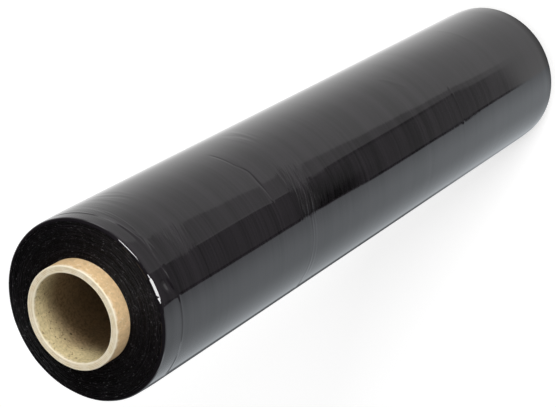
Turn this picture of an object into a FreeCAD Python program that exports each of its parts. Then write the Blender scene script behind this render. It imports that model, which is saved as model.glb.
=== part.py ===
"""Stretch wrap roll: film wound on a cardboard core that stands out at both ends.

The roll stands on one end of its core. The frame is in millimetres, with +Z along the
roll's axis and the origin at the middle of the core's lower end.
"""

import FreeCAD, Part
import os
import Sketcher

SIZES = {
    # the film, as wound
    "film_width": (500.0, "width of the film, from one end face of the winding to the other"),
    "film_diameter": (105.4, "diameter over the winding"),
    "film_edge_round": (1.5, "radius of the winding's outer edge"),
    "edge_band_width": (18.0, "stretch beside each end where the turns lie slacker"),
    "edge_band_drop": (0.5, "how much the radius falls over that stretch"),
    # the cardboard core
    "core_bore": (50.8, "inside diameter of the core"),
    "core_wall": (4.4, "thickness of the core's wall"),
    "core_overhang": (11.0, "how far the core stands out of the film at each end"),
    "core_lip_round": (0.8, "radius of the core's cut edges"),
    # how the two meet
    "winding_gap": (0.02, "radial gap between the core and the first turn"),
}

# two points or two radii nearer than this are the same one
SAME = 1e-6
CUBIC_MM_PER_LITRE = 1e6

doc = FreeCAD.newDocument("stretch_wrap_roll")


def make_sizes():
    """The sheet that holds every driving dimension as a plain number with an alias."""
    sheet = doc.addObject("Spreadsheet::Sheet", "sizes")
    sheet.Label = "sizes"
    for row, (alias, (value, note)) in enumerate(SIZES.items(), start=1):
        sheet.set(f"A{row}", alias)
        sheet.set(f"B{row}", str(value))
        sheet.setAlias(f"B{row}", alias)
        sheet.set(f"C{row}", note)
    doc.recompute()
    return sheet


def origin_plane(body, role):
    """One of a body's own origin planes or axes, found by its role."""
    return next(item for item in body.Origin.OriginFeatures if item.Role == role)


def new_sketch(body, name, plane):
    """An empty sketch on one of the body's origin planes."""
    sketch = body.newObject("Sketcher::SketchObject", name)
    sketch.AttachmentSupport = [(origin_plane(body, plane), "")]
    sketch.MapMode = "FlatFace"
    return sketch


def bind(item, prop, formula):
    """Ties a property to a formula on the sheet's cells, each written as sizes.alias."""
    item.setExpression(prop, formula)


def named_constraint(sketch, constraint, name, formula):
    """Adds a dimension to a sketch, names it and ties it to the sheet."""
    index = sketch.addConstraint(constraint)
    sketch.renameConstraint(index, name)
    bind(sketch, f"Constraints.{name}", formula)


def circle_edges(shape, radius):
    """Names of a shape's full circles of one radius."""
    names = []
    for number, edge in enumerate(shape.Edges, start=1):
        round_edge = isinstance(edge.Curve, Part.Circle)
        if round_edge and abs(edge.Curve.Radius - radius) < SAME:
            names.append(f"Edge{number}")
    return names


def fillet_circles(body, base, name, radii, formula):
    """Rounds every circle of the given radii on a feature, by a size from the sheet."""
    doc.recompute()
    names = [edge for radius in radii for edge in circle_edges(base.Shape, radius)]
    fillet = body.newObject("PartDesign::Fillet", name)
    fillet.Base = (base, names)
    bind(fillet, "Radius", formula)
    doc.recompute()
    return fillet


def make_core(sheet):
    """The spiral-wound cardboard tube: one wall, open right through, cut square at both ends."""
    body = doc.addObject("PartDesign::Body", "core")
    body.Label = "core"
    section = new_sketch(body, "core_section", "XY_Plane")
    centre = FreeCAD.Vector(0, 0, 0)
    inside_radius = sheet.core_bore / 2
    outside_radius = inside_radius + sheet.core_wall
    for radius in (inside_radius, outside_radius):
        section.addGeometry(Part.Circle(centre, FreeCAD.Vector(0, 0, 1), radius))
    for index in (0, 1):
        section.addConstraint(Sketcher.Constraint("Coincident", index, 3, -1, 1))
    named_constraint(
        section,
        Sketcher.Constraint("Radius", 0, inside_radius),
        "inside_radius",
        "sizes.core_bore / 2",
    )
    named_constraint(
        section,
        Sketcher.Constraint("Radius", 1, outside_radius),
        "outside_radius",
        "sizes.core_bore / 2 + sizes.core_wall",
    )
    tube = body.newObject("PartDesign::Pad", "core_tube")
    tube.Profile = section
    bind(tube, "Length", "sizes.film_width + 2 * sizes.core_overhang")
    fillet_circles(
        body, tube, "core_lips", (inside_radius, outside_radius), "sizes.core_lip_round"
    )
    return body


def make_film_roll(sheet):
    """The wound film, all turns as one solid, with a slacker stretch beside each end."""
    body = doc.addObject("PartDesign::Body", "film_roll")
    body.Label = "film_roll"
    section = new_sketch(body, "film_section", "XZ_Plane")

    inner = sheet.core_bore / 2 + sheet.core_wall + sheet.winding_gap
    outer = sheet.film_diameter / 2
    rim = outer - sheet.edge_band_drop
    low = sheet.core_overhang
    high = low + sheet.film_width
    band = sheet.edge_band_width
    # the band is an arc that leaves the straight side tangentially and ends at the rim
    band_radius = (band**2 + sheet.edge_band_drop**2) / (2 * sheet.edge_band_drop)

    def at(x, y):
        return FreeCAD.Vector(x, y, 0)

    def band_arc(start, end, tangent_height):
        """Anticlockwise arc of the band, tangent to the straight side at one height."""
        height = (start.y + end.y) / 2
        rise = height - tangent_height
        centre_x = outer - band_radius
        middle = at(centre_x + (band_radius**2 - rise**2) ** 0.5, height)
        return Part.Arc(start, middle, end)

    corners = [
        at(inner, low),
        at(rim, low),
        at(outer, low + band),
        at(outer, high - band),
        at(rim, high),
        at(inner, high),
    ]
    bottom = section.addGeometry(Part.LineSegment(corners[0], corners[1]))
    low_band = section.addGeometry(band_arc(corners[1], corners[2], low + band))
    side = section.addGeometry(Part.LineSegment(corners[2], corners[3]))
    high_band = section.addGeometry(band_arc(corners[3], corners[4], high - band))
    top = section.addGeometry(Part.LineSegment(corners[4], corners[5]))
    bore = section.addGeometry(Part.LineSegment(corners[5], corners[0]))

    def end_at(index, corner):
        """1 or 2: which end of a curve in the sketch lies on a corner."""
        start = section.Geometry[index].StartPoint
        return 1 if start.distanceToPoint(corners[corner]) < SAME else 2

    # the joints are matched to curve ends first, while the curves still lie exactly as drawn
    joints = [
        ("Coincident", bottom, low_band, 1),
        ("Tangent", low_band, side, 2),
        ("Tangent", side, high_band, 3),
        ("Coincident", high_band, top, 4),
        ("Coincident", top, bore, 5),
        ("Coincident", bore, bottom, 0),
    ]
    ends = {
        (index, corner): end_at(index, corner)
        for _, *pair, corner in joints
        for index in pair
    }
    for kind, first, second, corner in joints:
        places = (first, ends[first, corner], second, ends[second, corner])
        section.addConstraint(Sketcher.Constraint(kind, *places))
    for index in (bottom, top):
        section.addConstraint(Sketcher.Constraint("Horizontal", index))
    for index in (side, bore):
        section.addConstraint(Sketcher.Constraint("Vertical", index))

    inner_formula = "sizes.core_bore / 2 + sizes.core_wall + sizes.winding_gap"
    outer_formula = "sizes.film_diameter / 2"
    rim_formula = f"{outer_formula} - sizes.edge_band_drop"
    high_formula = "sizes.core_overhang + sizes.film_width"
    low_band_formula = "sizes.core_overhang + sizes.edge_band_width"
    high_band_formula = f"{high_formula} - sizes.edge_band_width"
    dimensions = [
        ("bore_radius", "DistanceX", bottom, 0, inner, inner_formula),
        ("low_rim_radius", "DistanceX", bottom, 1, rim, rim_formula),
        ("high_rim_radius", "DistanceX", top, 4, rim, rim_formula),
        ("side_radius", "DistanceX", side, 2, outer, outer_formula),
        ("low_face", "DistanceY", bottom, 0, low, "sizes.core_overhang"),
        ("high_face", "DistanceY", top, 5, high, high_formula),
        ("low_band_end", "DistanceY", side, 2, low + band, low_band_formula),
        ("high_band_end", "DistanceY", side, 3, high - band, high_band_formula),
    ]
    for name, kind, index, corner, value, formula in dimensions:
        # -1 and 1 stand for the sketch's own origin
        places = (-1, 1, index, ends[index, corner])
        constraint = Sketcher.Constraint(kind, *places, value)
        named_constraint(section, constraint, name, formula)

    winding = body.newObject("PartDesign::Revolution", "film_winding")
    winding.Profile = section
    winding.ReferenceAxis = (section, ["V_Axis"])
    winding.Angle = 360.0
    fillet_circles(body, winding, "film_rims", (rim,), "sizes.film_edge_round")
    return body


def check(bodies):
    """Stops the script unless every object recomputed and every piece is one closed solid."""
    doc.recompute()
    for item in doc.Objects:
        if "Invalid" in item.State or "Error" in item.State:
            raise RuntimeError(f"{item.Name} failed: {item.State}")
        if item.isDerivedFrom("Sketcher::SketchObject") and item.solve() != 0:
            raise RuntimeError(f"sketch {item.Name} doesn't solve")
    for body in bodies:
        shape = body.Shape
        if shape.isNull() or not shape.isValid() or len(shape.Solids) != 1:
            raise RuntimeError(f"{body.Label} isn't one valid solid")


def write(bodies):
    """One STEP file for each piece, named by its label."""
    os.makedirs("parts", exist_ok=True)
    for body in bodies:
        body.Shape.exportStep(f"parts/{body.Label}.step")
        box = body.Shape.optimalBoundingBox()
        litres = body.Shape.Volume / CUBIC_MM_PER_LITRE
        print(
            f"{body.Label}: {box.XLength:.2f} x {box.YLength:.2f} x {box.ZLength:.2f} mm,"
            f" z {box.ZMin:.2f} to {box.ZMax:.2f}, {litres:.4f} litres"
        )


sizes_sheet = make_sizes()
pieces = [make_core(sizes_sheet), make_film_roll(sizes_sheet)]
check(pieces)
write(pieces)
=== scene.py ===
"""Stretch wrap roll: black film wound on a cardboard core that stands out at both ends.

The roll stands on one end of its core, with +Z along its axis and -Y towards the camera.
Angles round the roll are in degrees from -Y towards +X. Lengths are in metres, apart from
those that a comment or a name gives in mm.
"""

import math

import bpy
import numpy as np
from mathutils import Matrix, Vector


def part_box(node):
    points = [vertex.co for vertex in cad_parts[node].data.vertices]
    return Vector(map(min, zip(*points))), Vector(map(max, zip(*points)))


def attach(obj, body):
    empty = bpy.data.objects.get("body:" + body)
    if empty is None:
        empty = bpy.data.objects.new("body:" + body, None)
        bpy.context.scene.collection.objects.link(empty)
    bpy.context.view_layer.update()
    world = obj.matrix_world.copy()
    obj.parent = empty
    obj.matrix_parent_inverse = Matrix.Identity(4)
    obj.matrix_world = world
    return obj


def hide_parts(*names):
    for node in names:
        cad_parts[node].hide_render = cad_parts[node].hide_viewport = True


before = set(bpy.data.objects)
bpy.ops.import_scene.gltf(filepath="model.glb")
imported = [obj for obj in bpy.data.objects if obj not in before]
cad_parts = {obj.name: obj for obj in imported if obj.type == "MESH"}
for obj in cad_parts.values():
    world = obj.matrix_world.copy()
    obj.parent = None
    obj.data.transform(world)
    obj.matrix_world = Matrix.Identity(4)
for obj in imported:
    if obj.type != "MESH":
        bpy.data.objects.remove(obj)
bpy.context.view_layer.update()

bl_info = {
    "name": "Stretch wrap roll",
    "version": (1, 0, 0),
    "blender": (4, 5, 0),
    "location": "View3D > Sidebar > Wrap roll",
    "description": "Builds a roll of black stretch film on a cardboard core",
    "category": "Add Mesh",
}

MM = 0.001
_, CORE_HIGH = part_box("core")
FILM_LOW, FILM_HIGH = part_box("film_roll")


def inner_radius(node):
    """Smallest distance of a node's corners from the roll's axis."""
    return min(math.hypot(v.co.x, v.co.y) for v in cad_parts[node].data.vertices)


CORE_RADIUS = CORE_HIGH.x
CORE_BORE_RADIUS = inner_radius("core")
CORE_TOP = CORE_HIGH.z
FILM_RADIUS = FILM_HIGH.x
FILM_BORE_RADIUS = inner_radius("film_roll")
FILM_BASE = FILM_LOW.z
FILM_TOP = FILM_HIGH.z

# the skin of outer turns, which carries the creases
SKIN_DEPTH = 2.4 * MM
SKIN_COLUMNS = 288
RIM_ROUND = 1.5 * MM
EDGE_BAND = 18 * MM
EDGE_BAND_DROP = 0.5 * MM
# the farthest that a ridge may stand out past the CAD model's film
MOST_RIDGE = 0.2 * MM
# how far the rims lie inside the film's ends, on average
RIM_SINK_MM = 0.2

# the turns beneath the skin: their gap to it, and how far their ends lie inside the film's
TURNS_GAP = 0.15 * MM
TURNS_SINK = 0.55 * MM
TURNS_COLUMNS = 192

# the rings of film edges and of ply edges: their distance from what is beside them, and
# how far inside the ends they are set
RING_COLUMNS = 144
EDGES_INNER_GAP = 0.5 * MM
EDGES_OUTER_GAP = 0.35 * MM
EDGES_SINK = 0.28 * MM
PLIES_INSET = 1.1 * MM
PLIES_SINK = 0.14 * MM

# the core
CORE_LIP = 0.8 * MM
CORE_LIP_ROWS = 7
CORE_COLUMNS = 192
CORE_ROWS = 60
# how far a ply's edge stands out of the cut, and how far the cut lies inside the end for it
PLY_STEP = 0.05 * MM
# the lines between the plies, as shares of the wall from the bore outwards
GLUE_LINES = (0.34, 0.52, 0.7)
GLUE_HALF_WIDTH_MM = 0.09

# dark spots on the bore's wall: angle in degrees, height and radius in mm
BORE_SPOTS = [
    (-163.8, 503.5, 0.8),
    (-162.2, 509.6, 0.6),
    (-170.5, 514.0, 0.45),
    (-139.0, 507.0, 0.5),
]


class Wire:
    """One output of a node, usable in an expression: arithmetic on it adds Math nodes."""

    def __init__(self, tree, socket=None):
        self.tree = tree
        self.socket = socket

    @staticmethod
    def find(sockets, key):
        """The socket at an index, or the first one in use that has a name."""
        if isinstance(key, int):
            return sockets[key]
        return next(item for item in sockets if item.enabled and item.name == key)

    def node(self, kind, settings=None, values=None, output=0):
        """Adds any node, with its settings first, and gives the wire of one output."""
        node = self.tree.nodes.new(kind)
        for name, setting in (settings or {}).items():
            setattr(node, name, setting)
        for name, value in (values or {}).items():
            socket = self.find(node.inputs, name)
            if isinstance(value, Wire):
                self.tree.links.new(value.socket, socket)
            else:
                socket.default_value = value
        return Wire(self.tree, self.find(node.outputs, output))

    def maths(self, operation, *values):
        """One Math node on values that are wires or numbers."""
        numbered = dict(enumerate(values))
        return self.node("ShaderNodeMath", {"operation": operation}, numbered)

    def __add__(self, other):
        return self.maths("ADD", self, other)

    def __radd__(self, other):
        return self.maths("ADD", other, self)

    def __sub__(self, other):
        return self.maths("SUBTRACT", self, other)

    def __rsub__(self, other):
        return self.maths("SUBTRACT", other, self)

    def __mul__(self, other):
        return self.maths("MULTIPLY", self, other)

    def __rmul__(self, other):
        return self.maths("MULTIPLY", other, self)

    def __truediv__(self, other):
        return self.maths("DIVIDE", self, other)

    def __neg__(self):
        return self.maths("MULTIPLY", self, -1.0)

    def diagonal(self, other):
        """The length of a line that has this number and another as its two parts."""
        return self.maths("SQRT", self * self + other * other)

    def rise(self, low, high):
        """0 below one value, 1 above the other, and a smooth rise between."""
        ends = {"Value": self, "From Min": low, "From Max": high}
        return self.node("ShaderNodeMapRange", {"interpolation_type": "SMOOTHSTEP"}, ends)

    def within(self, low, high, soft):
        """1 between two values and 0 outside, with soft ends."""
        return self.rise(low - soft, low + soft) * (1 - self.rise(high - soft, high + soft))

    def parts(self):
        """The three parts of a vector."""
        split = self.node("ShaderNodeSeparateXYZ", values={"Vector": self})
        outputs = split.socket.node.outputs
        return tuple(Wire(self.tree, item) for item in outputs)

    def stretched(self, x, y, z):
        """A vector multiplied part by part."""
        settings = {"operation": "MULTIPLY"}
        return self.node("ShaderNodeVectorMath", settings, {0: self, 1: (x, y, z)})

    def noise(self, scale, detail):
        """Noise from 0 to 1 at this vector."""
        values = {"Vector": self, "Scale": scale, "Detail": detail}
        return self.node("ShaderNodeTexNoise", values=values, output="Fac")

    def line_noise(self, scale, detail):
        """Noise from 0 to 1 along this number."""
        values = {"W": self, "Scale": scale, "Detail": detail}
        return self.node("ShaderNodeTexNoise", {"noise_dimensions": "1D"}, values, "Fac")

    def mix(self, first, second):
        """A colour mixed from two, with this wire as the share of the second."""
        settings = {"data_type": "RGBA"}
        values = {"Factor": self, "A": first, "B": second}
        return self.node("ShaderNodeMix", settings, values, "Result")

    def bump(self, strength, depth, below=None):
        """Normals for this height, on top of another wire of normals if one is given."""
        values = {"Height": self, "Strength": strength, "Distance": depth}
        if below is not None:
            values["Normal"] = below
        return self.node("ShaderNodeBump", values=values, output="Normal")


def opaque(colour, share=1.0):
    """Four channels from a colour property, with its three colours times a share."""
    return (colour[0] * share, colour[1] * share, colour[2] * share, 1.0)


def new_material(name):
    """An empty material and a wire that starts expressions in its tree."""
    material = bpy.data.materials.new(name)
    material.use_nodes = True
    material.node_tree.nodes.clear()
    return material, Wire(material.node_tree)


def finish_material(start, shader):
    """Sends a shader to the tree's output."""
    output = start.tree.nodes.new("ShaderNodeOutputMaterial")
    start.tree.links.new(shader.socket, output.inputs["Surface"])


def finish_principled(start, colour, roughness, normal, constants):
    """Sends a Principled shader with these wires and constants to the tree's output."""
    values = {"Base Color": colour, "Roughness": roughness, "Normal": normal, **constants}
    shader = start.node("ShaderNodeBsdfPrincipled", values=values, output="BSDF")
    finish_material(start, shader)


def azimuth_of(x, y):
    """The angle of a place or direction in degrees, from -Y towards +X."""
    return x.maths("ARCTAN2", x, -y) * math.degrees(1)


def round_the_roll(start):
    """Wires for the place on a piece: its vector, angle in degrees, radius and height in mm."""
    place = start.node("ShaderNodeTexCoord", output="Object")
    x, y, z = place.parts()
    return place, azimuth_of(x, y), x.diagonal(y) / MM, z / MM


def film_side_material(look):
    """Glossy black film, with streaks and small puckers that run round the roll."""
    material, start = new_material("film_side")
    place, angle, _, height = round_the_roll(start)
    # seen along the axis, a turn pulls tight in streaks about a millimetre wide
    streaks = place.stretched(6, 6, 700).noise(1.0, 3.0)
    broad_streaks = place.stretched(11, 11, 150).noise(1.0, 3.0)
    puckers = place.stretched(45, 45, 210).noise(1.0, 2.0)
    sag = place.stretched(9, 9, 16).noise(1.0, 1.0)
    # small slanting folds lie close together in three places
    folds = (height * 0.62 + angle * 0.17).line_noise(1.0, 3.0)
    folded = angle.within(-19, 16, 6) * height.within(349, 369, 5)
    folded = folded + angle.within(-4, 18, 5) * height.within(468, 488, 5)
    folded = folded + angle.within(42, 66, 6) * height.within(348, 362, 5) * 0.6
    # on one stretch of the side the film's colour is blacker in patches, in fine lines
    reach = (height * 0.07).line_noise(1.0, 2.0)
    blacker_patches = 1 - (angle + 13 - reach * 14).rise(-5, 7)
    blacker_patches = blacker_patches * angle.rise(-20.2, -19) * height.within(304, 364, 16)
    blacker_patches = blacker_patches * (0.5 + 0.5 * folds.rise(0.38, 0.62))
    haze = (streaks * 0.5 + broad_streaks * 0.5).rise(0.3, 0.7)
    colour = haze.mix(opaque(look.film_colour, 0.5), opaque(look.film_colour, 1.55))
    colour = blacker_patches.mix(colour, opaque(look.film_colour, 0.1))
    roughness = look.film_roughness + (streaks - 0.5) * 0.04 + (sag - 0.5) * 0.03
    # the film lies more evenly towards the far end
    lively = height.rise(70, 150)
    normal = (sag * lively).bump(1.0, 0.22 * MM)
    normal = (puckers * lively).bump(look.pucker_strength, 0.06 * MM, normal)
    normal = (streaks * lively).bump(look.streak_strength, 0.02 * MM, normal)
    normal = (folds * folded).bump(1.0, 0.16 * MM, normal)
    finish_principled(start, colour, roughness, normal, {"IOR": 1.5})
    return material


def film_edge_material(look):
    """The film's cut edges: dull black in fine rings, with short pale threads of painted glint."""
    material, start = new_material("film_edges")
    place, _, radius, _ = round_the_roll(start)
    patches = place.noise(90.0, 2.0)
    rings = (radius + patches * 0.5).line_noise(2.6, 3.0)
    dashes = place.noise(260.0, 3.0)
    grain = place.noise(900.0, 2.0)
    # threads run along the turns, each a few millimetres long
    x, y, _ = place.parts()
    round_turns = 24 / MM
    along = {"X": x / radius * round_turns, "Y": y / radius * round_turns, "Z": radius * 2.4}
    threads = start.node("ShaderNodeCombineXYZ", values=along).noise(1.0, 2.0)
    dark = opaque(look.film_colour, 0.05)
    lighter = opaque(look.film_colour, 1.6)
    weave = rings * 0.55 + threads * 0.25 + dashes * 0.1 + grain * 0.1
    colour = weave.rise(0.46, 0.66).mix(dark, lighter)
    # painted glints: where the threads are strongest the colour is painted paler
    painted_glints = (threads * 0.7 + grain * 0.3).rise(0.585, 0.68)
    colour = painted_glints.mix(colour, opaque(look.glint_colour))
    roughness = 0.5 - dashes.rise(0.5, 0.7) * 0.2 + rings * 0.1
    normal = rings.bump(0.8, 0.3 * MM)
    normal = dashes.bump(0.6, 0.25 * MM, normal)
    normal = threads.bump(0.6, 0.15 * MM, normal)
    normal = grain.bump(0.5, 0.12 * MM, normal)
    finish_principled(start, colour, roughness, normal, {"Specular IOR Level": 0.12})
    return material


def board_material(board):
    """Core board: tan outside, cream where it is cut, speckled grey tan in the bore."""
    material, start = new_material("core_board")
    place, angle, radius, height = round_the_roll(start)
    bore = CORE_BORE_RADIUS / MM
    outside = CORE_RADIUS / MM
    top = CORE_TOP / MM
    fibres = place.stretched(260, 260, 90).noise(1.0, 4.0)
    clouds = place.noise(60.0, 2.0)
    grain = place.noise(700.0, 3.0)
    specks = place.noise(650.0, 2.0).rise(0.58, 0.7)
    pale_specks = place.noise(480.0, 1.0).rise(0.64, 0.72)
    from_end = height.maths("MINIMUM", height, top - height)

    tan = (fibres * 0.5 + grain * 0.5).rise(0.3, 0.7).mix(
        opaque(board.outside_colour, 0.86), opaque(board.outside_colour, 1.12)
    )
    tan = (pale_specks * 0.35).mix(tan, opaque(board.cut_colour))
    tan = (specks * 0.35).mix(tan, opaque(board.outside_colour, 0.55))

    # painted light on the lining near its mouths and further in on one side, painted shade deeper
    # in
    mottle = (grain * 0.6 + fibres * 0.2 + clouds * 0.2).rise(0.34, 0.66)
    pale = mottle.mix(opaque(board.bore_colour, 0.78), opaque(board.bore_colour, 1.14))
    shaded_lining = mottle.mix(opaque(board.shade_and_lining_colour, 0.7), opaque(board.shade_and_lining_colour, 1.25))
    # painted shade: how deep a point lies sets where the painted light gives way to it
    depth = from_end + clouds * 8 - 6 * angle.within(-138, -95, 18)
    lining = depth.rise(6, 27).mix(pale, shaded_lining)
    lining = (specks * 0.75).mix(lining, opaque(board.shade_and_lining_colour, 0.6))
    # the overlap of the innermost ply climbs the bore as a faint spiral line
    turns = height / board.ply_pitch_mm + angle / 360
    seam = turns.maths("FRACT", turns).within(0.49, 0.51, 0.006)
    lining = (seam * 0.35).mix(lining, opaque(board.shade_and_lining_colour, 0.5))
    for spot_angle, spot_height, spot_radius in BORE_SPOTS:
        aside = (angle - spot_angle) * (bore * math.radians(1))
        rise = height - spot_height
        spot = 1 - aside.diagonal(rise).rise(spot_radius * 0.5, spot_radius * 1.3)
        lining = (spot * 0.85).mix(lining, opaque(board.shade_and_lining_colour, 0.12))

    plies = (radius + clouds * 0.25).line_noise(3.1, 2.0)
    cream = plies.rise(0.35, 0.65).mix(
        opaque(board.cut_colour, 0.88), opaque(board.cut_colour, 1.05)
    )
    # glue lines between the plies
    wander = radius + (clouds - 0.5) * 0.5
    glue = opaque(board.outside_colour, 0.62)
    for share in GLUE_LINES:
        line = bore + (outside - bore) * share
        on_line = wander.within(line - GLUE_HALF_WIDTH_MM, line + GLUE_HALF_WIDTH_MM, 0.06)
        cream = (on_line * 0.8).mix(cream, glue)
    # rubbed edges of the cut are paler than its middle
    rubbed = 1 - radius.within(bore + 0.7, outside - 0.7, 0.6)
    cream = (rubbed * 0.4).mix(cream, opaque(board.rubbed_colour))

    is_cut = 1 - height.within(0.6, top - 0.6, 0.45)
    is_bore = 1 - radius.rise(bore + 0.1, bore + 0.5)
    colour = is_bore.mix(tan, lining)
    colour = is_cut.mix(colour, cream)
    # handling has rubbed the first few millimetres of the overhang
    scuffed = (1 - from_end.rise(0.8, 2.6)) * fibres.rise(0.4, 0.6) * 0.5
    colour = scuffed.mix(colour, opaque(board.rubbed_colour))

    roughness = 0.78 + fibres * 0.14
    normal = fibres.bump(0.5, 0.12 * MM)
    normal = grain.bump(0.5, 0.1 * MM, normal)
    normal = (plies * is_cut).bump(0.6, 0.15 * MM, normal)
    normal = (seam * (1 - is_cut)).bump(0.6, 0.1 * MM, normal)
    finish_principled(start, colour, roughness, normal, {"Specular IOR Level": 0.25})
    return material


def material_once(name, make, look):
    """A material by name, made the first time that a piece asks for it."""
    found = bpy.data.materials.get(name)
    return found if found else make(look)


def section_grid(section, columns):
    """Radii, angles and heights of a section's points, each repeated in columns round the roll."""
    radii, heights = (np.repeat(part[:, None], columns, axis=1) for part in np.array(section).T)
    turn = np.linspace(-math.pi, math.pi, columns, endpoint=False)
    angles = np.repeat(turn[None, :], len(section), axis=0)
    return radii, angles, heights


def loop_mesh(name, radii, angles, heights):
    """A closed ring-shaped mesh from a grid: rows go round its section, columns round the roll.

    The rows start up the outer side, so that the faces look outwards.
    """
    rows, columns = radii.shape
    points = np.stack(
        [radii * np.sin(angles), -radii * np.cos(angles), heights], axis=-1
    ).reshape(-1, 3)
    row = np.arange(rows)[:, None]
    column = np.arange(columns)[None, :]
    above = (row + 1) % rows
    beside = (column + 1) % columns
    corners = [
        row * columns + column,
        row * columns + beside,
        above * columns + beside,
        above * columns + column,
    ]
    faces = np.stack(corners, axis=-1).reshape(-1, 4)
    mesh = bpy.data.meshes.new(name)
    mesh.from_pydata(points.tolist(), [], faces.tolist())
    mesh.polygons.foreach_set("use_smooth", [True] * len(faces))
    mesh.update()
    return mesh


def add_object(name, data):
    """A new object at the origin, linked to the scene."""
    item = bpy.data.objects.new(name, data)
    bpy.context.scene.collection.objects.link(item)
    return item


def add_piece(name, mesh, node, material):
    """Gives a piece its material, links it at the origin and settles it on the roll's body."""
    mesh.materials.append(material)
    settle_piece(add_object(name, mesh), node)


def settle_piece(piece, node):
    """A piece rides on the roll's one body and stands for a node, whose CAD part it hides."""
    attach(piece, "root")
    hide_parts(node)


def arc_rows(centre, radius, start, end, count):
    """Radius and height of points along an arc of a section, between two angles in degrees."""
    turns = np.radians(np.linspace(start, end, count))
    return [(centre[0] + radius * math.cos(t), centre[1] + radius * math.sin(t)) for t in turns]


# The creases that the film shows. A path gives the crease's height in mm at angles round
# the roll. The ridge's height and half width are in mm, and a step is how far the film
# beyond the crease lies lower.
CREASES = [
    # where the tight turns end and the slack ones begin, beside the upper rim
    {"path": [(-78, 495), (-19, 495), (-10, 498), (-1, 499.7), (19, 499.7), (48, 501.5),
              (80, 504)],
     "ridge": 0.16, "half_width": 0.55, "step": 0.16},
    {"path": [(8, 499.3), (19, 497.4), (34, 495.8), (52, 495.2)],
     "ridge": 0.09, "half_width": 0.5, "step": 0.0},
    # a short steep fold that catches the light
    {"path": [(-19, 496.2), (-13, 497.6), (-6.7, 499.5), (-4, 500)],
     "ridge": 0.06, "half_width": 0.42, "step": 0.94},
    # the long crease above the middle
    {"path": [(-3, 387.5), (7.8, 388.5), (14.4, 389.3), (24.4, 388.5), (32.2, 391.8),
              (53.3, 393.5)],
     "ridge": -0.17, "half_width": 0.6, "step": 0.05},
    # a pair that runs on towards the lower side
    {"path": [(-78, 360.5), (-50, 359.8), (-19, 359)],
     "ridge": 0.15, "half_width": 0.55, "step": 0.0},
    {"path": [(-66, 355.6), (-45, 356.2), (-19, 356.6)],
     "ridge": 0.11, "half_width": 0.55, "step": 0.0},
    # faint bands nearer the far end
    {"path": [(-85, 157), (0, 157.5), (85, 156.5)],
     "ridge": 0.02, "half_width": 0.9, "step": 0.02},
    {"path": [(20, 196), (32, 203), (43, 211)],
     "ridge": 0.07, "half_width": 1.6, "step": 0.0},
    {"path": [(30, 87.5), (65, 88.5)],
     "ridge": 0.05, "half_width": 0.8, "step": 0.0},
]

# Clusters of short wrinkles: how many, the middle of the cluster as angle and mm, its spread
# in the same two, the length of one wrinkle in degrees and its height in mm.
WRINKLES = [
    {"count": 14, "angle": 8, "height": 360, "spread": (9, 10), "length": 17, "ridge": 0.06},
    {"count": 12, "angle": 54, "height": 357, "spread": (9, 9), "length": 13, "ridge": 0.05},
    {"count": 8, "angle": -12, "height": 359, "spread": (5, 8), "length": 11, "ridge": 0.07},
    {"count": 9, "angle": 6, "height": 477, "spread": (8, 9), "length": 12, "ridge": 0.09},
    {"count": 6, "angle": 58, "height": 470, "spread": (12, 12), "length": 15, "ridge": 0.05},
    {"count": 14, "angle": 64, "height": 482, "spread": (12, 14), "length": 24, "ridge": 0.045},
    {"count": 10, "angle": -12, "height": 330, "spread": (5, 34), "length": 9, "ridge": 0.05},
    {"count": 9, "angle": 30, "height": 499, "spread": (20, 4), "length": 20, "ridge": 0.07},
    {"count": 11, "angle": 6, "height": 496.5, "spread": (16, 3), "length": 9, "ridge": 0.09},
    {"count": 9, "angle": 135, "height": 380, "spread": (22, 60), "length": 34, "ridge": 0.05},
    {"count": 9, "angle": -130, "height": 250, "spread": (22, 80), "length": 34, "ridge": 0.05},
    {"count": 8, "angle": 175, "height": 120, "spread": (25, 40), "length": 40, "ridge": 0.05},
]
WRINKLE_SEED = 7

# The stretches of the side, in mm, that need rows closer than the rest, and how close.
CLOSE_ROWS = [
    (12.5, 30, 1.6),
    (84, 92, 0.9),
    (152, 162, 0.8),
    (192, 214, 1.5),
    (300, 345, 1.5),
    (345, 372, 0.65),
    (383, 397, 0.6),
    (464, 486, 0.9),
    (486, 494, 0.5),
    (494, 503, 0.3),
    (503, 509.5, 0.5),
]
# the step between rows elsewhere, and the least one just before a close stretch
FAR_ROWS = 4.0
LEAST_STEP = 0.4


def side_heights():
    """Heights of the rows up the film's side in mm, closer together at the creases."""
    low = (FILM_BASE + RIM_ROUND) / MM
    high = (FILM_TOP - RIM_ROUND) / MM
    heights = [low]
    while heights[-1] < high:
        here = heights[-1]
        close = [step for start, end, step in CLOSE_ROWS if start <= here < end]
        ahead = [max(start - here, LEAST_STEP) for start, _, _ in CLOSE_ROWS if start > here]
        heights.append(here + (close[0] if close else min([FAR_ROWS] + ahead)))
    return np.array(heights[:-1] + [high])


def crease_relief(degrees, heights):
    """How far the film stands out or lies in at each point, in mm, from the listed creases."""
    relief = np.zeros(degrees.shape)
    for crease in CREASES:
        angles, levels = zip(*crease["path"])
        middle = np.interp(degrees, angles, levels)
        fade = soft_window(degrees, angles[0], angles[-1], 6.0)
        across = (heights - middle) / crease["half_width"]
        relief += fade * crease["ridge"] * np.exp(-(across**2))
        # the step is lost again over some half widths
        lost = np.exp(-(across / 14).clip(0) ** 2)
        relief -= fade * crease["step"] * 0.5 * (1 + np.tanh(across)) * lost
    return relief


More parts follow.
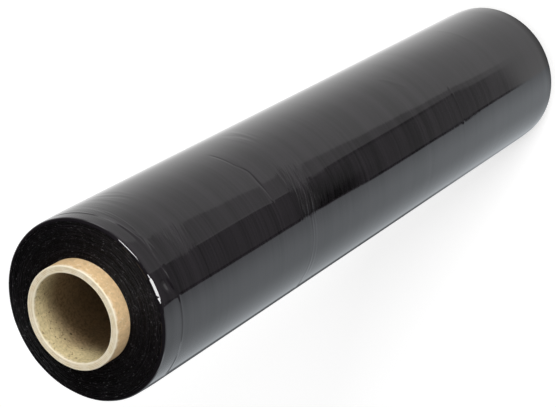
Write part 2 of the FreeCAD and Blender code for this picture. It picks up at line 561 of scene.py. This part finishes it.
def wrinkle_relief(degrees, heights):
    """The same, from the clusters of short wrinkles."""
    rng = np.random.default_rng(WRINKLE_SEED)
    relief = np.zeros(degrees.shape)
    for cluster in WRINKLES:
        for _ in range(cluster["count"]):
            angle = cluster["angle"] + rng.uniform(-1, 1) * cluster["spread"][0]
            level = cluster["height"] + rng.uniform(-1, 1) * cluster["spread"][1]
            half = cluster["length"] * rng.uniform(0.3, 0.65)
            slant = rng.uniform(-0.16, 0.16)
            ridge = cluster["ridge"] * rng.uniform(0.4, 1.2) * rng.choice([-1, 1])
            width = rng.uniform(0.6, 1.3)
            away = (degrees - angle + 180) % 360 - 180
            fade = np.exp(-((away / half) ** 2))
            across = (heights - level - slant * away) / width
            relief += ridge * fade * np.exp(-(across**2))
    return relief


def soft_window(values, low, high, soft):
    """1 well inside a range and 0 outside it, with smooth ends inside the range."""
    rise = np.clip((values - low) / soft, 0, 1)
    fall = np.clip((high - values) / soft, 0, 1)
    return rise * rise * (3 - 2 * rise) * fall * fall * (3 - 2 * fall)


def slow_waves(degrees, shift, amount):
    """Gentle unevenness of a handled roll, in mm: a few long waves that close round it.

    The shift sets the waves off from one another, as a height in mm does along the side.
    """
    turns = np.radians(degrees)
    waves = np.sin(2 * turns + shift / 90) + 0.7 * np.sin(3 * turns - shift / 55 + 1)
    waves += 0.5 * np.sin(5 * turns + shift / 37 + 2) + 0.35 * np.sin(9 * turns - shift / 23)
    return amount * waves / 2.5


def make_skin(look):
    """The outer turns of the film: a closed sleeve with its rims, creases and slack ends."""
    flat = FILM_RADIUS - EDGE_BAND_DROP
    low_rim = (flat - RIM_ROUND, FILM_BASE + RIM_ROUND)
    high_rim = (flat - RIM_ROUND, FILM_TOP - RIM_ROUND)
    inside = FILM_RADIUS - SKIN_DEPTH
    side = side_heights() * MM
    section = [(inside, FILM_BASE)]
    section += arc_rows(low_rim, RIM_ROUND, -90, 0, 7)
    section += [(flat, height) for height in side[1:-1]]
    section += arc_rows(high_rim, RIM_ROUND, 0, 90, 9)
    section += [(inside, FILM_TOP), (inside, FILM_TOP - 3 * MM), (inside, FILM_BASE + 3 * MM)]
    radii, angles, heights = section_grid(section, SKIN_COLUMNS)

    degrees = np.degrees(angles)
    levels = heights / MM
    on_side = radii > inside
    from_end = np.minimum(heights - FILM_BASE, FILM_TOP - heights)
    band = np.clip(1 - from_end / EDGE_BAND, 0, 1)
    relief = EDGE_BAND_DROP * (1 - band**2)
    creases = crease_relief(degrees, levels) + wrinkle_relief(degrees, levels)
    relief += creases * MM * look.crease_strength * np.clip(from_end / RIM_ROUND, 0, 1)
    relief += slow_waves(degrees, levels, 0.09) * MM
    radii = np.where(on_side, radii + relief, radii)
    # in two places the upper rim is pressed flatter, which catches the light
    flats = 0.85 * soft_window(degrees, -17.5, -2.0, 1.3)
    flats += 0.3 * soft_window(degrees, 12, 26, 3)
    past_start = np.clip((heights - high_rim[1]) / RIM_ROUND, 0, 1)
    on_rim = on_side & (heights > high_rim[1])
    chord = high_rim[0] + RIM_ROUND * (1 - past_start) + relief
    radii = np.where(on_rim, radii + flats * (chord - radii), radii)
    # turns don't end at quite the same height, so the rim wanders a little
    rim = np.clip(1 - from_end / (3 * RIM_ROUND), 0, 1) * on_side
    wander = slow_waves(degrees * 3, 0, 0.16) + slow_waves(degrees * 7, 40, 0.07)
    outwards = np.where(heights > (FILM_BASE + FILM_TOP) / 2, 1, -1)
    heights = heights - outwards * rim * (RIM_SINK_MM - wander) * MM
    radii = np.minimum(radii, FILM_RADIUS + MOST_RIDGE)
    mesh = loop_mesh("film_skin", radii, angles, heights)
    side_material = material_once("film_side", film_side_material, look)
    add_piece("film_skin", mesh, "film_roll", side_material)


def make_turns(look):
    """The turns beneath the skin, as one closed tube whose ends dish a little unevenly."""
    outer = FILM_RADIUS - SKIN_DEPTH - TURNS_GAP
    inner = FILM_BORE_RADIUS
    low, high = FILM_BASE + TURNS_SINK, FILM_TOP - TURNS_SINK
    span = np.linspace(0, 1, 24)
    section = [(outer, low), (outer, high)]
    section += [(outer + (inner - outer) * share, high) for share in span[1:]]
    section += [(inner + (outer - inner) * share, low) for share in span[:-1]]
    radii, angles, heights = section_grid(section, TURNS_COLUMNS)
    dish = slow_waves(np.degrees(angles), radii / MM * 20, 0.14) * MM
    outwards = np.where(heights > (FILM_BASE + FILM_TOP) / 2, 1, -1)
    heights = heights + outwards * np.minimum(dish, TURNS_SINK * 0.4)
    mesh = loop_mesh("film_turns", radii, angles, heights)
    edges = material_once("film_edges", film_edge_material, look)
    add_piece("film_turns", mesh, "film_roll", edges)


def wavy_ring(name, half_width, rise, foot, seed):
    """One ring of unit radius with a peaked section, whose crest height wanders round it."""
    rng = np.random.default_rng(seed)
    shares = (1, 0.4, -0.5, -1)
    section = [(1 + half_width * share, -foot) for share in shares]
    radii, angles, heights = section_grid(section, RING_COLUMNS)
    turn = angles[0]
    crest = np.ones(RING_COLUMNS)
    for cycles in (2, 3, 5, 9, 14, 23, 37):
        crest += rng.uniform(0.05, 0.16) * np.sin(cycles * turn + rng.uniform(0, 2 * math.pi))
    crest = rise * np.clip(crest, 0.1, None)
    # the two middle points of the section carry the crest
    heights[1] = crest
    heights[2] = crest * 0.92
    return loop_mesh(name, radii, angles, heights)


def ring_tree():
    """Geometry nodes that repeat one unit ring between two radii, each turned by chance."""
    tree = bpy.data.node_groups.new("ring_stack", "GeometryNodeTree")
    kinds = {
        "Ring": "Geometry",
        "Count": "Int",
        "Inner Radius": "Float",
        "Outer Radius": "Float",
        "Face Height": "Float",
        "Unevenness": "Float",
        "Facing": "Float",
        "Seed": "Int",
        "Material": "Material",
    }
    for name, kind in kinds.items():
        tree.interface.new_socket(name, in_out="INPUT", socket_type=f"NodeSocket{kind}")
    tree.interface.new_socket("Rings", in_out="OUTPUT", socket_type="NodeSocketGeometry")

    start = Wire(tree)
    inputs = tree.nodes.new("NodeGroupInput")
    given = {name: Wire(tree, inputs.outputs[name]) for name in kinds}
    points = start.node("GeometryNodeMeshLine", values={"Count": given["Count"]})
    index = start.node("GeometryNodeInputIndex")
    share = index / (given["Count"] - 1)

    def chance(low, high, offset):
        seed = given["Seed"] + offset
        values = {"Min": low, "Max": high, "Seed": seed}
        return start.node("FunctionNodeRandomValue", {"data_type": "FLOAT"}, values, "Value")

    reach = given["Outer Radius"] - given["Inner Radius"]
    jitter = chance(-0.35, 0.35, 1) * reach / given["Count"]
    inside_ends = share.within(0.01, 0.99, 0.005)
    radius = given["Inner Radius"] + reach * share + jitter * inside_ends
    level = given["Face Height"] - given["Facing"] * given["Unevenness"] * chance(0.0, 1.0, 2)
    place = start.node("ShaderNodeCombineXYZ", values={"Z": level})
    placed = start.node("GeometryNodeSetPosition", values={"Geometry": points, "Position": place})
    scale = start.node(
        "ShaderNodeCombineXYZ", values={"X": radius, "Y": radius, "Z": given["Facing"]}
    )
    turned = start.node("ShaderNodeCombineXYZ", values={"Z": chance(0.0, 2 * math.pi, 3)})
    copies = start.node(
        "GeometryNodeInstanceOnPoints",
        values={"Points": placed, "Instance": given["Ring"], "Rotation": turned, "Scale": scale},
    )
    real = start.node("GeometryNodeRealizeInstances", values={"Geometry": copies})
    painted = start.node(
        "GeometryNodeSetMaterial", values={"Geometry": real, "Material": given["Material"]}
    )
    output = tree.nodes.new("NodeGroupOutput")
    tree.links.new(painted.socket, output.inputs["Rings"])
    return tree


def make_rings(name, ring, node, values):
    """A piece of concentric rings, from the node tree, on one end of the roll."""
    tree = bpy.data.node_groups.get("ring_stack") or ring_tree()
    piece = add_object(name, ring)
    modifier = piece.modifiers.new("rings", "NODES")
    modifier.node_group = tree
    for item in tree.interface.items_tree:
        if item.in_out == "INPUT" and item.name in values:
            modifier[item.identifier] = values[item.name]
    bpy.context.view_layer.update()
    shown = piece.evaluated_get(bpy.context.evaluated_depsgraph_get())
    mesh = bpy.data.meshes.new_from_object(shown)
    piece.modifiers.remove(modifier)
    piece.data = mesh
    mesh.name = name
    if values["Facing"] < 0:
        mesh.flip_normals()
    settle_piece(piece, node)


def make_film_edges(look):
    """The edges of the turns at both ends of the winding, which stand at uneven heights."""
    edges = material_once("film_edges", film_edge_material, look)
    inner = FILM_BORE_RADIUS + EDGES_INNER_GAP
    outer = FILM_RADIUS - SKIN_DEPTH - EDGES_OUTER_GAP
    count = look.visible_turns
    pitch = (outer - inner) / (count - 1)
    half_width = 0.62 * pitch / ((inner + outer) / 2)
    ends = (("film_edges_top", FILM_TOP, 1.0, 11), ("film_edges_base", FILM_BASE, -1.0, 23))
    for name, face, facing, seed in ends:
        ring = wavy_ring(name, half_width, rise=0.22 * MM, foot=0.9 * MM, seed=seed)
        values = {
            "Count": count,
            "Inner Radius": inner,
            "Outer Radius": outer,
            "Face Height": face - facing * EDGES_SINK,
            "Unevenness": look.edge_unevenness,
            "Facing": facing,
            "Seed": seed,
            "Material": edges,
        }
        make_rings(name, ring, "film_roll", values)


def make_core(board):
    """The cardboard tube, with lips softened by handling and fine steps between its plies."""
    lip, count = CORE_LIP, CORE_LIP_ROWS
    bore, outside = CORE_BORE_RADIUS, CORE_RADIUS
    middle = (bore + outside) / 2
    cut = np.linspace(outside - lip, bore + lip, board.plies * 4 + 1)[1:-1]
    steps = PLY_STEP * np.cos((cut - bore) / (outside - bore) * board.plies * 2 * math.pi)
    rows = np.linspace(lip, CORE_TOP - lip, CORE_ROWS)
    section = arc_rows((outside - lip, lip), lip, -90, 0, count)[:-1]
    section += [(outside, height) for height in rows]
    section += arc_rows((outside - lip, CORE_TOP - lip), lip, 0, 90, count)[1:]
    section += [(radius, CORE_TOP - PLY_STEP + step) for radius, step in zip(cut, steps)]
    section += arc_rows((bore + lip, CORE_TOP - lip), lip, 90, 180, count)[:-1]
    section += [(bore, height) for height in rows[::-1]]
    section += arc_rows((bore + lip, lip), lip, 180, 270, count)[1:]
    section += [(radius, PLY_STEP - step) for radius, step in zip(cut[::-1], steps[::-1])]
    radii, angles, heights = section_grid(section, CORE_COLUMNS)
    degrees = np.degrees(angles)
    near_end = np.exp(-np.minimum(heights, CORE_TOP - heights) / (3 * MM))
    # the cut end has small flats and dents from the saw and from handling, which differ
    # between the bore and the outside
    dents = slow_waves(degrees * 2, radii / MM * 30, 0.16) + slow_waves(degrees * 5, heights, 0.06)
    radii = radii - (np.abs(dents) + 0.02) * MM * near_end * np.sign(radii - middle)
    at_cut = (heights < 0.1 * MM) | (heights > CORE_TOP - 0.1 * MM)
    uneven = np.abs(slow_waves(degrees * 3, 15, 0.07)) * MM
    heights = np.where(
        at_cut & (np.abs(radii - middle) < 1.2 * MM),
        heights - np.where(heights > CORE_TOP / 2, 1, -1) * uneven,
        heights,
    )
    mesh = loop_mesh("core_tube", radii, angles, heights)
    material = material_once("core_board", board_material, board)
    add_piece("core_tube", mesh, "core", material)


def make_core_plies(board):
    """The edges of the plies at both cut ends, as fine rings that stand up unevenly."""
    material = material_once("core_board", board_material, board)
    ends = (("core_plies_top", CORE_TOP, 1.0, 5), ("core_plies_base", 0.0, -1.0, 9))
    for name, face, facing, seed in ends:
        ring = wavy_ring(name, half_width=0.0032, rise=0.09 * MM, foot=0.25 * MM, seed=seed)
        values = {
            "Count": board.plies,
            "Inner Radius": CORE_BORE_RADIUS + PLIES_INSET,
            "Outer Radius": CORE_RADIUS - PLIES_INSET,
            "Face Height": face - facing * PLIES_SINK,
            "Unevenness": 0.06 * MM,
            "Facing": facing,
            "Seed": seed,
            "Material": material,
        }
        make_rings(name, ring, "core", values)


# where the camera stands: its direction and distance from the point of its axis that is
# nearest the roll's, and its turn about that axis
VIEW_ELEVATION = 52.747
VIEW_AZIMUTH = 0.254
VIEW_ROLL = 120.509
VIEW_TARGET = Vector((-2.986, -0.013, 316.188)) * MM
VIEW_DISTANCE = 1114.347 * MM
LENS_MM = 116.841
SENSOR_MM = 36.0
KEY_DISTANCE = 1.6
FLOOR_REACH = 12.0

# The studio that the film mirrors, in degrees of azimuth from -Y towards +X and of elevation:
# the azimuth of the dark gap's outer edge, the elevations between which its foot fades in,
# and those between which it is wider.
GAP_OUTER_EDGE = -40
GAP_FOOT = (-61.25, -60.9)
WIDER_GAP = (-59.4, -55.2)
# a window's azimuth from and to, the blur of its upright edges, and its elevation from and to
WINDOWS = [
    (-29, -4, 1, 24, 50),
    (22, 46, 2, 27, 45),
]


def direction(azimuth, elevation):
    """The unit vector towards a direction in degrees."""
    aside = math.radians(azimuth)
    up = math.radians(elevation)
    return Vector(
        (math.sin(aside) * math.cos(up), -math.cos(aside) * math.cos(up), math.sin(up))
    )


def make_camera():
    """The photograph's viewpoint, from above one end of the roll, with the roll aslant."""
    forward = -direction(VIEW_AZIMUTH, VIEW_ELEVATION)
    upright = forward.to_track_quat("-Z", "Y").to_matrix()
    turned = upright @ Matrix.Rotation(math.radians(-VIEW_ROLL), 3, "Z")
    camera = add_object("camera", bpy.data.cameras.new("camera"))
    camera.matrix_world = Matrix.LocRotScale(VIEW_TARGET - forward * VIEW_DISTANCE, turned, None)
    camera.data.lens = LENS_MM
    camera.data.sensor_width = SENSOR_MM
    camera.data.clip_start = 0.05
    camera.data.clip_end = 60
    bpy.context.scene.camera = camera


def make_key_lamp(stage):
    """A soft lamp on the camera's side that faces the roll's top; the shadow falls behind.

    Gloss doesn't mirror it, because the surround holds all that the film mirrors.
    """
    towards = direction(stage.key_azimuth, stage.key_elevation)
    lamp = bpy.data.lights.new("key_lamp", "AREA")
    lamp.shape = "RECTANGLE"
    lamp.size, lamp.size_y = stage.key_width, stage.key_height
    lamp.energy = stage.key_power
    holder = add_object("key_lamp", lamp)
    holder.location = Vector((0, 0, CORE_TOP)) + towards * KEY_DISTANCE
    holder.rotation_euler = towards.to_track_quat("Z", "Y").to_euler()
    holder.visible_glossy = False


def wall_level(azimuth, elevation):
    """How bright the walls of the mirrored studio are in each direction, where 1 is white.

    They are pale, with a dark gap between two of them where the film shows its long dark
    band. Their join behind the roll is dark too.
    """
    walls = 0.73 + 0.26 * azimuth.rise(60, 125) + 0.12 * azimuth.rise(138, 160)
    walls = walls + 0.2 * azimuth.within(-84, -50, 16)
    walls = walls * (1 + 0.12 * (1 - azimuth.rise(-60, -40)) * elevation.rise(-54, -50))
    # one stretch of the gap is wider than the rest, with a greyer wall beside it
    gap_foot = elevation.rise(*GAP_FOOT)
    wider = elevation.within(*WIDER_GAP, 0.7)
    # the wall beside the gap is grey, further across towards the horizon
    grey_edge = 19.5 + 2.3 * (elevation + 55.5)
    beside_gap = azimuth.rise(-2, 2) * (1 - (azimuth - grey_edge).rise(-0.9, 0.9))
    walls = walls - (0.26 + 0.06 * wider) * beside_gap * gap_foot
    # the gap, soft on the side of the grey wall
    inner_blur = 0.5 + 2 * (1 - elevation.rise(-61, -57))
    inner_reach = 4 * elevation.within(-59.4, -54.2, 0.7)
    inner_side = 1 - (azimuth + 0.4 - inner_reach).rise(-inner_blur, inner_blur)
    from_edge = azimuth - GAP_OUTER_EDGE + 3 * wider
    gap = from_edge.rise(-0.5, 0.5) * inner_side * gap_foot
    gap_depth = 0.68 + 0.1 * elevation.rise(-60, -55)
    walls = walls * (1 - gap_depth * gap)
    # its outer edge is a thin line, nearly black
    gap_edge = from_edge.within(-2.4, 1.2, 0.3) * gap_foot
    walls = walls * (1 - 0.95 * gap_edge)
    # one stretch of the gap is darker still
    deepest = (1 - azimuth.rise(-33, -18)) * gap * elevation.within(-55.6, -53.3, 0.9)
    walls = walls * (1 - 0.85 * deepest)
    # the far side grows darker towards the horizon, and the join is dark all the way
    far_side_level = 0.3 * elevation.rise(-61.9, -61.3) + 0.7 * elevation.rise(-61, -55.6)
    walls = walls * (1 - 0.8 * azimuth.within(-172, -152, 3) * far_side_level)
    join = azimuth.maths("ABSOLUTE", azimuth).rise(168, 174)
    walls = walls * (1 - 0.65 * join)
    # tall strips of light that only low views find in the film
    strips = azimuth.within(62, 84, 4) + azimuth.within(-104, -86, 4)
    return walls + 1.6 * strips * elevation.within(-34, 10, 8)


def make_surround(stage):
    """The world: white behind the roll, plain as light, and a studio in what the film mirrors."""
    world = bpy.data.worlds.new("studio")
    world.use_nodes = True
    world.node_tree.nodes.clear()
    world.cycles.sampling_method = "NONE"
    start = Wire(world.node_tree)
    x, y, z = start.node("ShaderNodeTexCoord", output="Generated").parts()
    azimuth = azimuth_of(x, y)
    elevation = z.maths("ARCSINE", z) * math.degrees(1)

    # the walls reach up to the horizon; the ceiling is nearly black and the floor is darker
    ceiling = elevation.rise(4, 16)
    under = 1 - elevation.rise(-69, -63.5)
    mirrored = wall_level(azimuth, elevation) * (1 - ceiling) * (1 - 0.65 * under)
    mirrored = mirrored + 0.004 * ceiling
    # bright windows high up, which glint in the upper rim
    for left, right, blur, foot, head in WINDOWS:
        pane = azimuth.within(left, right, blur) * elevation.within(foot, head, 1.5)
        mirrored = mirrored + stage.window_level * pane

    seen = start.node("ShaderNodeLightPath", output="Is Camera Ray")
    glossy = start.node("ShaderNodeLightPath", output="Is Glossy Ray")
    plain = stage.world_level
    level = plain + glossy * (mirrored - plain)
    level = level + seen * (1 - level)
    # the wall on the -X side is a little cooler
    cool = (1 - azimuth.rise(-44, -38)) * glossy
    tint = cool.mix((1, 1, 1, 1), (0.94, 1.0, 1.05, 1))
    shader = start.node("ShaderNodeBackground", values={"Color": tint, "Strength": level})
    output = world.node_tree.nodes.new("ShaderNodeOutputWorld")
    world.node_tree.links.new(shader.socket, output.inputs["Surface"])
    bpy.context.scene.world = world


def make_floor(stage):
    """A wide pale floor that keeps the roll's shadow and is lifted towards white when seen."""
    mesh = bpy.data.meshes.new("floor")
    square = ((-1, -1), (1, -1), (1, 1), (-1, 1))
    corners = [(across * FLOOR_REACH, along * FLOOR_REACH, 0) for across, along in square]
    mesh.from_pydata(corners, [], [(0, 1, 2, 3)])
    floor = add_object("floor", mesh)
    floor.visible_glossy = False
    material, start = new_material("floor")
    seen = start.node("ShaderNodeLightPath", output="Is Camera Ray")
    x, y, _ = start.node("ShaderNodeTexCoord", output="Object").parts()
    lift = stage.floor_lift + 0.3 * x.diagonal(y).rise(0.7, 3.5)
    white = (seen * lift).mix((0, 0, 0, 1), (1, 1, 1, 1))
    matt = start.node("ShaderNodeBsdfDiffuse", values={"Color": opaque(stage.floor_colour)})
    glow = start.node("ShaderNodeEmission", values={"Color": white})
    both = start.node("ShaderNodeAddShader", values={0: matt, 1: glow})
    finish_material(start, both)
    mesh.materials.append(material)


def colour_property(name, description, default):
    """A colour for the panel, with three channels from 0 to 1."""
    return bpy.props.FloatVectorProperty(
        name=name, description=description, subtype="COLOR", size=3, min=0, max=1, default=default
    )


def share_property(name, description, default, least=0):
    """A share for the panel, up to 1."""
    return bpy.props.FloatProperty(
        name=name, description=description, subtype="FACTOR", min=least, max=1, default=default
    )


class WrapRollFilm(bpy.types.PropertyGroup):
    """The film's finish."""

    film_colour: colour_property("Film colour", "Colour of the film", (0.0104, 0.0088, 0.0106))
    film_roughness: share_property("Film roughness", "Roughness of the film's side", 0.06, 0.02)
    streak_strength: share_property("Streaks", "Strength of the fine streaks round the roll", 0.22)
    pucker_strength: share_property("Puckers", "Strength of the small puckers in the film", 0.2)
    crease_strength: bpy.props.FloatProperty(
        name="Creases",
        description="How much of their full height the creases have",
        min=0,
        max=2,
        default=1.0,
    )
    # the colour of the painted glints on the film's cut edges
    glint_colour: colour_property(
        "Pale threads", "Colour of the palest spots on the film's cut edges", (0.085, 0.085, 0.088)
    )
    visible_turns: bpy.props.IntProperty(
        name="Edge rings",
        description="Rings that the film's edges show at each end",
        min=4,
        max=60,
        default=26,
    )
    edge_unevenness: bpy.props.FloatProperty(
        name="Edge unevenness",
        description="How much lower than the face a ring of film edges may stand",
        min=0,
        max=0.001,
        default=0.26 * MM,
        unit="LENGTH",
        precision=5,
    )


class WrapRollCore(bpy.types.PropertyGroup):
    """The cardboard core's finish."""

    outside_colour: colour_property("Outside", "Colour of the core's outside", (0.68, 0.48, 0.265))
    cut_colour: colour_property("Cut", "Colour of the board where it is cut", (0.88, 0.77, 0.55))
    rubbed_colour: colour_property(
        "Rubbed edges", "Colour of the board's rubbed edges", (0.90, 0.83, 0.68)
    )
    bore_colour: colour_property("Bore", "Colour of the core's bore", (0.60, 0.50, 0.285))
    # the lining colour is the painted shade deeper in the bore, and the colour of its specks, seam
    # and spots
    shade_and_lining_colour: colour_property(
        "Lining", "Colour of the bore's lining deeper in", (0.25, 0.17, 0.09)
    )
    plies: bpy.props.IntProperty(
        name="Plies",
        description="Plies that the cut edge shows",
        min=2,
        max=16,
        default=6,
    )
    ply_pitch_mm: bpy.props.FloatProperty(
        name="Ply pitch (mm)",
        description="How far the spiral seam climbs in one turn",
        min=20,
        max=400,
        default=115,
    )


class WrapRollStage(bpy.types.PropertyGroup):
    """The floor and the light."""

    floor_colour: colour_property("Floor", "Colour of the floor", (0.82, 0.82, 0.82))
    floor_lift: share_property("Floor lift", "White added to the floor where it is seen", 0.49)
    world_level: bpy.props.FloatProperty(
        name="Plain light",
        description="Level of the even light from all round",
        min=0,
        max=2,
        default=0.52,
    )
    key_power: bpy.props.FloatProperty(
        name="Key power",
        description="Power of the key lamp",
        min=0,
        default=21.0,
        unit="POWER",
    )
    key_width: bpy.props.FloatProperty(
        name="Key width",
        description="Width of the key lamp",
        min=0.05,
        default=0.9,
        unit="LENGTH",
    )
    key_height: bpy.props.FloatProperty(
        name="Key height",
        description="Height of the key lamp",
        min=0.05,
        default=0.4,
        unit="LENGTH",
    )
    window_level: bpy.props.FloatProperty(
        name="Window level",
        description="Level of the windows that glint in the rim and light nothing else",
        min=0,
        default=20.0,
    )
    key_azimuth: bpy.props.FloatProperty(
        name="Key azimuth",
        description="Direction of the key lamp in degrees, from -Y towards +X",
        default=24.0,
    )
    key_elevation: bpy.props.FloatProperty(
        name="Key elevation",
        description="Height of the key lamp above the horizon in degrees",
        default=20.0,
    )


class WRAPROLL_OT_film_skin(bpy.types.Operator):
    """Makes the outer turns of the film, with their creases and slack ends"""

    bl_idname = "wraproll.film_skin"
    bl_label = "Film skin"

    def execute(self, context):
        make_skin(context.scene.wraproll_film)
        return {"FINISHED"}


class WRAPROLL_OT_film_turns(bpy.types.Operator):
    """Makes the turns beneath the skin and the rings of film edges at both ends"""

    bl_idname = "wraproll.film_turns"
    bl_label = "Film turns and edges"

    def execute(self, context):
        make_turns(context.scene.wraproll_film)
        make_film_edges(context.scene.wraproll_film)
        return {"FINISHED"}


class WRAPROLL_OT_core(bpy.types.Operator):
    """Makes the cardboard core and the ply edges at its cut ends"""

    bl_idname = "wraproll.core"
    bl_label = "Core"

    def execute(self, context):
        make_core(context.scene.wraproll_core)
        make_core_plies(context.scene.wraproll_core)
        return {"FINISHED"}


class WRAPROLL_OT_stage(bpy.types.Operator):
    """Makes the camera, the lamp, the surround and the floor"""

    bl_idname = "wraproll.stage"
    bl_label = "Stage"

    def execute(self, context):
        make_camera()
        make_key_lamp(context.scene.wraproll_stage)
        make_surround(context.scene.wraproll_stage)
        make_floor(context.scene.wraproll_stage)
        context.scene.view_settings.view_transform = "Standard"
        return {"FINISHED"}


class WRAPROLL_PT_panel(bpy.types.Panel):
    """Lists the roll's sizes and colours, and the steps that build it"""

    bl_label = "Wrap roll"
    bl_idname = "WRAPROLL_PT_panel"
    bl_space_type = "VIEW_3D"
    bl_region_type = "UI"
    bl_category = "Wrap roll"

    def draw(self, context):
        for step in STEPS:
            self.layout.operator(step.bl_idname)
        for name in GROUPS:
            group = getattr(context.scene, name)
            box = self.layout.box()
            for key in group.__annotations__:
                box.prop(group, key)


GROUPS = {
    "wraproll_film": WrapRollFilm,
    "wraproll_core": WrapRollCore,
    "wraproll_stage": WrapRollStage,
}
STEPS = (
    WRAPROLL_OT_stage,
    WRAPROLL_OT_core,
    WRAPROLL_OT_film_turns,
    WRAPROLL_OT_film_skin,
)


def register():
    """Registers the properties, the steps and the panel."""
    for name, group in GROUPS.items():
        bpy.utils.register_class(group)
        setattr(bpy.types.Scene, name, bpy.props.PointerProperty(type=group))
    for item in (*STEPS, WRAPROLL_PT_panel):
        bpy.utils.register_class(item)


def unregister():
    """Takes all of them out again."""
    for item in (WRAPROLL_PT_panel, *reversed(STEPS)):
        bpy.utils.unregister_class(item)
    for name, group in reversed(GROUPS.items()):
        delattr(bpy.types.Scene, name)
        bpy.utils.unregister_class(group)


def main():
    """Builds the whole scene."""
    register()
    bpy.ops.wraproll.stage()
    bpy.ops.wraproll.core()
    bpy.ops.wraproll.film_turns()
    bpy.ops.wraproll.film_skin()


if __name__ == "__main__":
    main()
